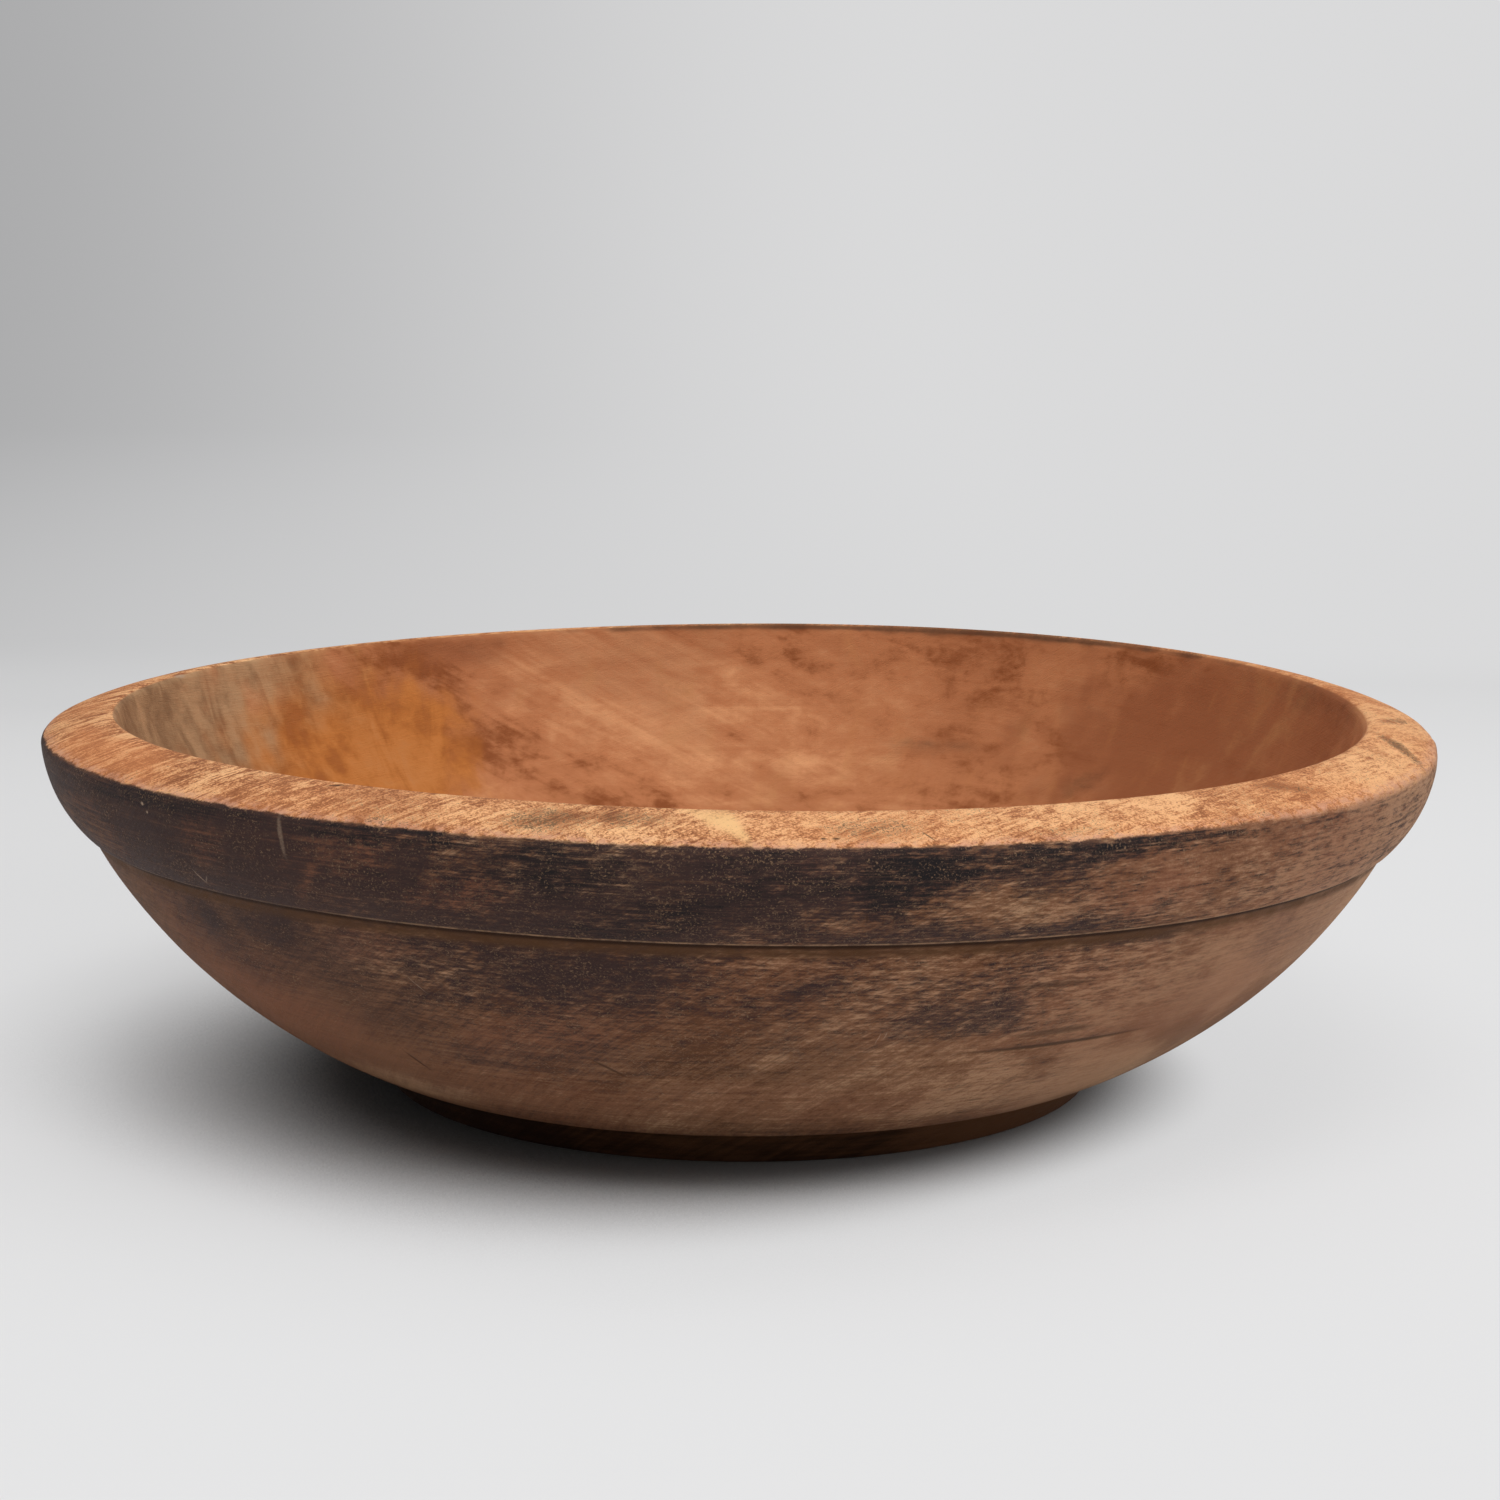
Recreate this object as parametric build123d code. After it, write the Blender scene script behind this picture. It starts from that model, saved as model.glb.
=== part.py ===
"""Turned wooden dough bowl, one solid of wood.

Millimetres. The origin is the centre of the foot's underside, and +Z is up.
One profile, drawn in the XZ plane as (radius, height), is turned about Z.
"""

import os
from math import sqrt

from build123d import *

# Rim: its top face climbs from the outer edge to the inner edge.
rim_diameter = 520.0
rim_outer_height = 135.7
rim_rise = 7.8
rim_width = 26.8
rim_crown = 1.4
rim_outer_round = 3.0
rim_inner_round = 3.0

# Band below the rim: it bulges and draws in downwards, and ends in a lip over the wall.
band_height = 33.6
band_taper = 14.2
band_bulge = 3.6
lip_depth = 2.0
lip_round = 0.7
lip_flat = 0.2

# Wall: one arc from under the lip to the edge over the foot.
wall_bulge = 11.2
wall_edge_diameter = 306.0
wall_edge_height = 14.5
wall_edge_round = 1.2

# Foot: a low disc set back under the wall's edge.
foot_setback = 8.5
foot_taper = 9.0
foot_corner_round = 2.0
foot_edge_round = 2.4

# Hollow: an arc down from the rim, which runs on into a shallow dish over the foot.
hollow_flank_radius = 160.0
hollow_dish_depth = 3.0
floor_thickness = 22.0

# The cove takes what the lip's underside has left beside its round and its flat.
cove_radius = lip_depth - lip_round - lip_flat

# Outer corners of the profile, from the foot up to the rim.
foot_centre = Vector(0, 0)
wall_edge = Vector(wall_edge_diameter / 2, wall_edge_height)
foot_top = wall_edge - Vector(foot_setback, 0)
foot_edge = Vector(foot_top.X - foot_taper, 0)
rim_outer = Vector(rim_diameter / 2, rim_outer_height)
lip = rim_outer - Vector(band_taper, band_height)
wall_top = lip - Vector(lip_depth, 0)

# Inner corners: the flank's arc passes through the rim's inner edge.
rim_inner = rim_outer + Vector(-rim_width, rim_rise)
floor_centre = Vector(0, floor_thickness)
flank_centre_height = floor_thickness + hollow_dish_depth + hollow_flank_radius
flank_reach = sqrt(hollow_flank_radius**2 - (flank_centre_height - rim_inner.Y) ** 2)
flank_centre = Vector(rim_inner.X - flank_reach, flank_centre_height)

# The dish touches the flank's arc on the line through both centres.
dish_span = flank_centre.X**2 + hollow_dish_depth**2 + 2 * hollow_dish_depth * hollow_flank_radius
dish_radius = dish_span / (2 * hollow_dish_depth)
dish_centre = floor_centre + Vector(0, dish_radius)
dish_touch = flank_centre + (flank_centre - dish_centre).normalized() * hollow_flank_radius

corner_rounds = (
    (foot_edge, foot_edge_round),
    (foot_top, foot_corner_round),
    (wall_edge, wall_edge_round),
    (wall_top, cove_radius),
    (lip, lip_round),
    (rim_outer, rim_outer_round),
    (rim_inner, rim_inner_round),
)

with BuildPart() as bowl:
    with BuildSketch(Plane.XZ) as profile:
        with BuildLine():
            Line(foot_centre, foot_edge)
            Line(foot_edge, foot_top)
            Line(foot_top, wall_edge)
            SagittaArc(wall_edge, wall_top, -wall_bulge)
            Line(wall_top, lip)
            SagittaArc(lip, rim_outer, -band_bulge)
            SagittaArc(rim_outer, rim_inner, -rim_crown)
            RadiusArc(rim_inner, dish_touch, hollow_flank_radius)
            RadiusArc(dish_touch, floor_centre, dish_radius)
            Line(floor_centre, foot_centre)
        make_face()
        for corner, radius in corner_rounds:
            fillet(profile.vertices().sort_by_distance(corner)[0], radius)
    revolve(axis=Axis.Z)

bowl.part.label = "bowl"
os.makedirs("parts", exist_ok=True)
export_step(bowl.part, "parts/bowl.step")
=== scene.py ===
"""Worn dough bowl, turned from one block of wood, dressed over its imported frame.

Metres. +Z is up, and azimuth is measured from the front (-Y) towards the right (+X).
A station says where a point lies on the turned outline: its whole part names the surface.
"""

from math import pi, radians, sqrt
from typing import NamedTuple

import bmesh
import bpy
import numpy as np
from bpy.props import FloatProperty, FloatVectorProperty, IntProperty, PointerProperty
from bpy.types import NodeSocket, Operator, Panel, PropertyGroup
from mathutils import Euler, Matrix, Vector, noise


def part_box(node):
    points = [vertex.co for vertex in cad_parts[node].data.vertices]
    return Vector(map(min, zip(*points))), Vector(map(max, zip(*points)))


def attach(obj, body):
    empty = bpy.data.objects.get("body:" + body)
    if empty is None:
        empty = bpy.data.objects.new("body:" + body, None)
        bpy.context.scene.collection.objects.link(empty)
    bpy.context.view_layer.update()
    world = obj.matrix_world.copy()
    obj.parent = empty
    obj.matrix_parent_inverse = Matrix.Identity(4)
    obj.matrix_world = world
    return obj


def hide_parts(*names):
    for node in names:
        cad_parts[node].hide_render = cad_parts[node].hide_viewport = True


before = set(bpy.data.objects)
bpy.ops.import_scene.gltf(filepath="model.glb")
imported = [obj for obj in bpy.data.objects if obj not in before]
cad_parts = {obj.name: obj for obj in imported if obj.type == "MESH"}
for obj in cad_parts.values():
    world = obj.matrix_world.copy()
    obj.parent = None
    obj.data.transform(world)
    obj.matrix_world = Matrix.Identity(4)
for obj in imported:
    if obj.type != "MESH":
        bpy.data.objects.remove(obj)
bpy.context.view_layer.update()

bl_info = {
    "name": "Dough Bowl",
    "version": (1, 0, 0),
    "blender": (4, 5, 0),
    "location": "View3D > Sidebar > Dough Bowl",
    "description": "Turns, wears and stages a wooden dough bowl",
    "category": "Object",
}

MM = 0.001

# Stations of the turned outline, from the centre of the underside round to the centre of the floor.
UNDERSIDE = 0.0
FOOT = 1.0
STEP = 1.7
WALL = 2.0
COVE = 2.95
BAND = 3.0
RIM = 4.0
FLANK = 5.0
FLOOR = 6.0
FLOOR_END = 7.0

bowl_low, bowl_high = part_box("bowl")
RIM_DIAMETER_MM = round((bowl_high.x - bowl_low.x) / MM)


def length(name, description, millimetres):
    """Property for a length, with its default given in millimetres."""
    metres = millimetres * MM
    return FloatProperty(name=name, description=description, default=metres, unit="LENGTH", precision=4)


def angle(name, description, default):
    """Property for an angle, in radians."""
    return FloatProperty(name=name, description=description, default=default, subtype="ANGLE")


def lamp_power(name, description, watts):
    """Property for the power of a lamp."""
    return FloatProperty(name=name, description=description, default=watts, unit="POWER")


def colour(name, description, default):
    """Property for a colour, in linear light."""
    return FloatVectorProperty(
        name=name, description=description, default=default, size=3, min=0.0, max=1.0, subtype="COLOR"
    )


class BowlShape(PropertyGroup):
    """Sizes of the turned outline, how far the wood has moved, and how fine the mesh is."""

    rim_diameter: length("Rim diameter", "Across the rim's outer edge", RIM_DIAMETER_MM)
    rim_outer_height: length("Rim outer height", "Foot to the rim's outer edge", 135.7)
    rim_rise: length("Rim rise", "How far the rim's inner edge stands over its outer edge", 7.8)
    rim_width: length("Rim width", "Outer edge to inner edge, seen from above", 26.8)
    rim_crown: length("Rim crown", "How far the rim's top bulges", 1.4)
    band_height: length("Band height", "Lip to the rim's outer edge", 33.6)
    band_taper: length("Band taper", "How far the band draws in down to the lip", 14.2)
    band_bulge: length("Band bulge", "How far the band bulges", 3.6)
    lip_depth: length("Lip depth", "How far the lip stands out over the wall", 2.0)
    wall_bulge: length("Wall bulge", "How far the wall bulges", 11.2)
    wall_edge_diameter: length("Wall edge diameter", "Across the wall's lower edge", 306.0)
    wall_edge_height: length("Wall edge height", "Foot to the wall's lower edge", 14.5)
    foot_setback: length("Foot setback", "Wall's lower edge in to the top of the foot", 8.5)
    foot_taper: length("Foot taper", "How far the foot draws in downwards", 9.0)
    hollow_flank_radius: length("Flank radius", "Radius of the hollow's flank", 160.0)
    hollow_dish_depth: length("Dish depth", "How far the hollow's floor is dished", 3.0)
    floor_thickness: length("Floor thickness", "Wood under the middle of the hollow", 22.0)
    oval: FloatProperty(name="Oval", description="Share by which the rim is oval", default=0.0134)
    oval_turn: angle("Oval turn", "Azimuth of the rim's narrow way", radians(6.0))
    warp: length("Warp", "Height of the rim's saddle warp", 1.5)
    warp_turn: angle("Warp turn", "Azimuth where the warped rim is lowest", radians(51.0))
    segments: IntProperty(name="Segments", description="Steps round the full turn", default=600, min=48)


class BowlFinish(PropertyGroup):
    """Colours of the wood and of what years of use have left on it."""

    umber: colour("Umber", "Outside wood", (0.228, 0.115, 0.061))
    umber_light: colour("Light umber", "Outside wood, pale layers", (0.50, 0.298, 0.172))
    umber_deep: colour("Deep umber", "Outside wood, dense layers", (0.100, 0.046, 0.022))
    russet: colour("Russet", "Outside wood, red-brown", (0.265, 0.104, 0.058))
    tan: colour("Tan", "Outside wood rubbed bare", (0.33, 0.195, 0.110))
    patina: colour("Patina", "Dark skin on the outside", (0.045, 0.028, 0.027))
    soot: colour("Soot", "Blue-black stain on the band", (0.015, 0.015, 0.017))
    # Cove shade: the darker brown strip under the lip is painted shade over smoother wood.
    cove_shade: colour("Cove", "Smooth wood under the lip", (0.102, 0.048, 0.022))
    grime: colour("Grime", "Dirt in pores, cracks and corners", (0.060, 0.032, 0.020))
    chalk: colour("Chalk", "Bruised wood in scratches", (0.50, 0.35, 0.24))
    honey: colour("Honey", "Worn rim", (0.57, 0.246, 0.107))
    honey_light: colour("Light honey", "Worn rim, rubbed bright", (0.90, 0.52, 0.26))
    honey_deep: colour("Deep honey", "Worn rim, dense fibres", (0.24, 0.088, 0.040))
    amber: colour("Amber", "Worn rim, red-brown", (0.70, 0.255, 0.096))
    blush: colour("Blush", "Rim's rubbed outer edge", (0.66, 0.34, 0.22))
    sapwood: colour("Sapwood", "Pale wedge in the rim", (0.88, 0.54, 0.25))
    inside: colour("Inside", "Oiled wood of the hollow", (0.53, 0.212, 0.093))
    inside_light: colour("Light inside", "Hollow, rubbed pale", (0.85, 0.430, 0.210))
    inside_deep: colour("Deep inside", "Hollow, dark clouds", (0.27, 0.086, 0.031))
    inside_russet: colour("Russet inside", "Hollow, red-brown", (0.305, 0.104, 0.045))
    gold_deep: colour("Deep gold", "Hollow, golden layers between the bright ones", (0.37, 0.121, 0.031))
    gold: colour("Gold", "Hollow, golden layers", (0.56, 0.204, 0.052))
    ash: colour("Ash", "Hollow, greyed and dry", (0.49, 0.290, 0.152))
    ash_deep: colour("Deep ash", "Hollow, greyed and dirty", (0.25, 0.145, 0.076))
    gloss: colour("Gloss", "Tint of the wood's sheen", (0.55, 0.36, 0.28))
    foot: colour("Foot", "Foot, streaked brown", (0.105, 0.046, 0.021))
    # Dark end of the foot's streaks; it also paints the foot's shade at the left and the shade in the
    # corner under the lip.
    foot_and_corner_shade: colour("Deep foot", "Foot, dark with handling", (0.022, 0.010, 0.006))


class BowlStage(PropertyGroup):
    """Camera, sweep and lamps."""

    camera_distance: length("Camera distance", "Bowl's axis to the camera, level", 1217.0)
    camera_height: length("Camera height", "Floor to the camera", 326.9)
    camera_offset: length("Camera offset", "How far right of the middle the camera stands", 3.5)
    camera_pitch: angle("Camera pitch", "How far the camera looks down", 0.1653)
    camera_roll: angle("Camera roll", "How far the camera leans left", 0.0088)
    focal_length: FloatProperty(name="Focal length", description="In mm on a 36 mm frame", default=76.8)
    floor_colour: colour("Floor", "Pale floor of the sweep", (0.82, 0.82, 0.825))
    # Painted shadow: the tone the camera sees on the floor close under the bowl.
    floor_painted_shadow: colour("Contact", "Floor close under the bowl", (0.05, 0.05, 0.051))
    # Painted light: the floor glows with this tone further out, to lighten the bowl's shadow.
    floor_painted_light: colour("Open floor", "Floor's own tone where the shadow is lighter", (0.78, 0.78, 0.785))
    # Painted shade: the sweep's wall is darker at the left.
    wall_left_shaded: colour("Wall, left", "Sweep's wall at the left", (0.40, 0.40, 0.405))
    wall_right: colour("Wall, right", "Sweep's wall at the right", (0.70, 0.70, 0.705))
    key_power: lamp_power("Key power", "Soft lamp, high in front", 19.0)
    top_power: lamp_power("Top power", "Broad soft lamp overhead", 10.0)
    side_power: lamp_power("Side power", "Soft lamp at the right", 6.0)
    sky: FloatProperty(name="Sky", description="Even light from all round", default=0.30)


class Row(NamedTuple):
    """Point of the outline, as radius and height, with its station."""

    point: Vector
    station: float


class Corner(NamedTuple):
    """Rounded corner of the outline: what it takes of the runs before and after it, in mm."""

    before: float
    after: float


SHARP = Corner(0.0, 0.0)
CORNER_ROWS = 5


def swept_points(centre, start, end, steps):
    """Points from start to end along the short arc about a centre."""
    spoke = start - centre
    turn = spoke.angle_signed(end - centre)
    return [centre + Matrix.Rotation(-turn * i / steps, 2) @ spoke for i in range(steps + 1)]


def bulged_points(start, end, bulge, steps):
    """Points from start to end along an arc that stands off its chord, to the right, by a bulge."""
    chord = end - start
    right = Vector((chord.y, -chord.x)).normalized()
    radius = (chord.length_squared / 4 + bulge * bulge) / (2 * bulge)
    centre = (start + end) / 2 + right * (bulge - radius)
    return swept_points(centre, start, end, steps)


def straight_points(start, end, steps):
    """Evenly spaced points from start to end."""
    return [start.lerp(end, i / steps) for i in range(steps + 1)]


def outline_runs(shape):
    """Runs of the outline: points, first station, last station, and the corner that ends the run."""
    foot_centre = Vector((0.0, 0.0))
    wall_edge = Vector((shape.wall_edge_diameter / 2, shape.wall_edge_height))
    foot_top = wall_edge - Vector((shape.foot_setback, 0.0))
    foot_edge = Vector((foot_top.x - shape.foot_taper, 0.0))
    rim_outer = Vector((shape.rim_diameter / 2, shape.rim_outer_height))
    lip = rim_outer - Vector((shape.band_taper, shape.band_height))
    wall_top = lip - Vector((shape.lip_depth, 0.0))
    rim_inner = rim_outer + Vector((-shape.rim_width, shape.rim_rise))

    floor_centre = Vector((0.0, shape.floor_thickness))
    flank_radius = shape.hollow_flank_radius
    dish_depth = shape.hollow_dish_depth
    flank_height = shape.floor_thickness + dish_depth + flank_radius
    flank_reach = sqrt(flank_radius**2 - (flank_height - rim_inner.y) ** 2)
    flank_centre = Vector((rim_inner.x - flank_reach, flank_height))
    dish_radius = (flank_centre.x**2 + dish_depth**2) / (2 * dish_depth) + flank_radius
    dish_centre = floor_centre + Vector((0.0, dish_radius))
    dish_touch = flank_centre + (flank_centre - dish_centre).normalized() * flank_radius

    return [
        (straight_points(foot_centre, foot_edge, 7), UNDERSIDE, FOOT, Corner(1.4, 1.4)),
        (straight_points(foot_edge, foot_top, 6), FOOT, STEP, Corner(3.6, 3.6)),
        (straight_points(foot_top, wall_edge, 3), STEP, WALL, Corner(1.1, 1.1)),
        (bulged_points(wall_edge, wall_top, shape.wall_bulge, 36), WALL, COVE, Corner(4.5, 1.3)),
        (straight_points(wall_top, lip, 2), COVE, BAND, Corner(0.5, 1.0)),
        (bulged_points(lip, rim_outer, shape.band_bulge, 18), BAND, RIM, Corner(2.4, 2.8)),
        (bulged_points(rim_outer, rim_inner, shape.rim_crown, 12), RIM, FLANK, Corner(3.2, 3.2)),
        (swept_points(flank_centre, rim_inner, dish_touch, 36), FLANK, FLOOR, SHARP),
        (swept_points(dish_centre, dish_touch, floor_centre, 8), FLOOR, FLOOR_END, SHARP),
    ]


def shortened(rows, cut):
    """Run that starts a cut further along."""
    if not cut:
        return rows
    gaps = [(row.point - rows[0].point).length for row in rows]
    ahead = next(i for i, gap in enumerate(gaps) if gap > cut)
    share = (cut - gaps[ahead - 1]) / (gaps[ahead] - gaps[ahead - 1])
    near_row, far_row = rows[ahead - 1], rows[ahead]
    station = near_row.station + (far_row.station - near_row.station) * share
    return [Row(near_row.point.lerp(far_row.point, share), station)] + rows[ahead:]


def corner_rows(start, peak, end):
    """Rows of a rounded corner, between the run that stops at start and the run that goes on at end."""
    rows = []
    for i in range(1, CORNER_ROWS):
        t = i / CORNER_ROWS
        point = start.point.lerp(peak, t).lerp(peak.lerp(end.point, t), t)
        rows.append(Row(point, start.station + (end.station - start.station) * t))
    return rows


def outline(shape):
    """Whole outline with its corners rounded."""
    rows = []
    last_corner = SHARP
    for points, first, last, corner in outline_runs(shape):
        steps = len(points) - 1
        run = [Row(point, first + (last - first) * i / steps) for i, point in enumerate(points)]
        run = shortened(run, last_corner.after * MM)
        run = shortened(run[::-1], corner.before * MM)[::-1]
        if last_corner != SHARP:
            rows += corner_rows(rows[-1], points[0], run[0])
        elif rows:
            run = run[1:]
        rows += run
        last_corner = corner
    return rows


def turned_mesh(shape):
    """Closed mesh of the bowl: its outline spun through a quarter, and the quarter repeated round."""
    bm = bmesh.new()
    station_layer = bm.verts.layers.float.new("station")
    reach_layer = bm.verts.layers.float.new("reach")
    reach = 0.0
    last = None
    for point, station in outline(shape):
        vert = bm.verts.new((point.x, 0.0, point.y))
        if last:
            reach += (vert.co - last.co).length
            bm.edges.new((last, vert))
        vert[station_layer] = station
        vert[reach_layer] = reach
        last = vert
    turning = {"cent": (0.0, 0.0, 0.0), "axis": (0.0, 0.0, 1.0)}
    outline_geometry = bm.verts[:] + bm.edges[:]
    bmesh.ops.spin(bm, geom=outline_geometry, angle=pi / 2, steps=shape.segments // 4, **turning)
    quarter = bm.verts[:] + bm.edges[:] + bm.faces[:]
    bmesh.ops.spin(bm, geom=quarter, angle=3 * pi / 2, steps=3, use_duplicate=True, **turning)
    bmesh.ops.remove_doubles(bm, verts=bm.verts[:], dist=0.01 * MM)
    bmesh.ops.recalc_face_normals(bm, faces=bm.faces[:])
    mesh = bpy.data.meshes.new("turned_bowl")
    bm.to_mesh(mesh)
    bm.free()
    mesh.shade_smooth()
    return mesh


class Surface:
    """Vertices of the bowl as arrays: place, azimuth, radius, station and length along the outline."""

    def __init__(self, mesh):
        self.mesh = mesh
        count = len(mesh.vertices)
        flat = np.empty(count * 3, dtype=np.float32)
        mesh.vertices.foreach_get("co", flat)
        self.place = flat.reshape(count, 3).astype(float)
        self.points = [Vector(point) for point in self.place]
        self.azimuth = np.arctan2(self.place[:, 0], -self.place[:, 1])
        self.radius = np.hypot(self.place[:, 0], self.place[:, 1])
        self.station = self.read("station")
        self.reach = self.read("reach")

    def read(self, name):
        """Values of a float attribute."""
        values = np.empty(len(self.mesh.vertices), dtype=np.float32)
        self.mesh.attributes[name].data.foreach_get("value", values)
        return values.astype(float)

    def store(self, name, values):
        """Keeps values, held between 0 and 1, as a float attribute."""
        layer = self.mesh.attributes.new(name, "FLOAT", "POINT")
        layer.data.foreach_set("value", np.clip(values, 0.0, 1.0).astype(np.float32))

    def wander(self, size, seed):
        """Smooth noise over the vertices, about -1 to 1, with features of the given size."""
        shift = Vector((seed, 2.0 * seed, -seed))
        return np.array([noise.noise(point / size + shift) for point in self.points])

    def reach_at(self, station):
        """Length along the outline at a station."""
        order = np.argsort(self.station)
        return float(np.interp(station, self.station[order], self.reach[order]))

    def move(self, offset):
        """Moves the vertices by an offset each."""
        self.place += offset
        self.mesh.vertices.foreach_set("co", self.place.astype(np.float32).ravel())
        self.mesh.update()


def ramp(values, low, high):
    """Smooth step from 0 at low to 1 at high."""
    t = np.clip((values - low) / (high - low), 0.0, 1.0)
    return t * t * (3.0 - 2.0 * t)


def near(values, centre, width):
    """Smooth hump, 1 at the centre and 0 a width away."""
    return 1.0 - ramp(np.abs(values - centre), 0.0, width)


def wear_shape(surface, shape):
    """Moves the turned mesh as years have: it goes oval, warps, ripples and loses its sharp edges."""
    free = ramp(surface.place[:, 2], shape.wall_edge_height, shape.rim_outer_height * 0.8)
    oval = -shape.oval * surface.radius * np.cos(2 * (surface.azimuth - shape.oval_turn))
    warp = -shape.warp * np.cos(2 * (surface.azimuth - shape.warp_turn))
    broad_ripple = 0.28 * MM * surface.wander(0.045, 3.0)
    fine_ripple = 0.10 * MM * surface.wander(0.017, 9.0)
    ripple = (broad_ripple + fine_ripple) * ramp(surface.station, FOOT + 0.3, WALL)
    chips = 1.5 * MM * np.clip(surface.wander(0.012, 21.0) - 0.25, 0.0, 1.0)
    dents = 0.8 * MM * np.clip(surface.wander(0.030, 33.0), 0.0, 1.0)
    rim_nick = (chips + dents) * near(surface.station, RIM, 0.22)
    lip_chips = 0.7 * MM * np.clip(surface.wander(0.014, 41.0) - 0.15, 0.0, 1.0)
    lip_nick = lip_chips * near(surface.station, BAND, 0.12)
    outward = surface.place * (1.0, 1.0, 0.0) / np.maximum(surface.radius, MM)[:, None]
    offset = outward * (oval * free + ripple - rim_nick - lip_nick)[:, None]
    offset[:, 2] += warp * free - 0.7 * rim_nick
    surface.move(offset)


class Stain(NamedTuple):
    """Soft patch of a tint: its middle as azimuth and station, half sizes in mm, lean and strength."""

    tint: str
    azimuth: float
    station: float
    across: float
    along: float
    lean: float
    strength: float


BAND_STAINS = (
    Stain("soot", 11.2, 3.69, 19, 13, 0, 0.60),
    Stain("soot", 19.0, 3.86, 38, 6, 0, 0.50),
    Stain("soot", 3.0, 3.80, 28, 8, 0, 0.26),
    Stain("soot", -14.0, 3.76, 34, 11, 0, 0.45),
    Stain("soot", -6.0, 3.30, 34, 10, 15, 0.34),
    Stain("soot", 34.0, 3.93, 44, 3, 0, 0.60),
    Stain("soot", -26.0, 3.93, 60, 4, 0, 0.50),
    Stain("soot", -50.0, 3.92, 60, 5, 0, 0.40),
    Stain("patina", 8.5, 3.28, 20, 5, 0, -0.28),
    Stain("patina", 18.5, 3.40, 30, 9, 0, -0.45),
    Stain("patina", -21.2, 3.74, 8, 8, 35, -0.25),
    Stain("patina", 32.0, 3.62, 46, 12, 8, -0.30),
    Stain("patina", -62.0, 3.40, 40, 14, 0, -0.20),
    Stain("patina", -36.0, 3.55, 190, 34, 0, 0.13),
    Stain("patina", -42.8, 3.64, 18, 12, 10, -0.24),
    Stain("patina", -32.8, 3.42, 10, 4, 48, -0.28),
    Stain("patina", -20.0, 3.42, 24, 8, 8, -0.20),
    Stain("patina", -29.0, 3.74, 22, 9, 0, -0.26),
    Stain("russet", -29.0, 3.74, 22, 9, 0, 0.45),
    Stain("russet", -42.8, 3.65, 15, 11, 10, 0.65),
    Stain("russet", -37.2, 3.78, 9, 7, 0, 0.50),
    Stain("russet", -20.0, 3.42, 23, 8, 8, 0.65),
    Stain("russet", -32.8, 3.42, 9, 3, 48, 0.80),
    Stain("russet", 4.0, 3.82, 7, 6, 30, 0.55),
    Stain("russet", 30.0, 3.45, 34, 9, 0, 0.30),
    Stain("russet", 46.0, 3.50, 110, 30, 0, 0.35),
    Stain("russet", -45.0, 3.50, 120, 26, 0, 0.35),
    Stain("pale", 31.0, 3.30, 32, 9, 0, 0.40),
    # Pale at the far right of the band: paler wood, partly painted light from the right.
    Stain("pale", 60.0, 3.55, 84, 34, 0, 1.00),
)

WALL_STAINS = (
    Stain("patina", -8.4, 2.86, 46, 16, 12, 0.22),
    Stain("patina", 6.0, 2.82, 13, 4, 0, 0.32),
    Stain("patina", 19.6, 2.68, 30, 10, 4, 0.38),
    Stain("patina", 33.2, 2.92, 30, 4, 0, 0.40),
    Stain("patina", 50.0, 2.85, 14, 18, -30, 0.10),
    Stain("patina", -43.0, 2.90, 34, 15, 0, 0.20),
    Stain("patina", -24.0, 2.80, 130, 26, 4, 0.20),
    Stain("patina", -30.0, 2.60, 30, 12, 20, 0.14),
    Stain("patina", 2.0, 2.87, 26, 8, 0, -0.24),
    Stain("patina", 15.6, 2.89, 28, 7, 3, -0.30),
    Stain("russet", -29.6, 2.86, 26, 9, 8, 0.55),
    Stain("russet", -16.0, 2.62, 40, 16, 15, 0.35),
    Stain("russet", 0.0, 2.30, 80, 20, 0, 0.30),
    Stain("russet", -52.0, 2.60, 60, 50, 0, 0.40),
    Stain("russet", 40.0, 2.72, 110, 40, 0, 0.40),
    # The pale stains at the right (36 and 62 degrees) and low on the wall (36 and -42 degrees, near
    # station 2.2) are paler wood, partly painted light where the wall faces down or away from the lamps.
    Stain("pale", 36.0, 2.70, 80, 34, 0, 0.55),
    Stain("pale", 62.0, 2.80, 80, 40, 0, 0.85),
    Stain("pale", 2.0, 2.25, 130, 18, 0, 0.20),
    Stain("pale", 36.0, 2.26, 74, 34, 0, 0.80),
    Stain("pale", 16.0, 2.45, 50, 22, 0, 0.35),
    Stain("pale", -42.0, 2.20, 44, 18, 0, 0.60),
    Stain("pale", -31.0, 2.82, 24, 9, 0, 0.35),
    Stain("patina", -20.0, 2.52, 40, 13, 10, 0.26),
)

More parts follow.
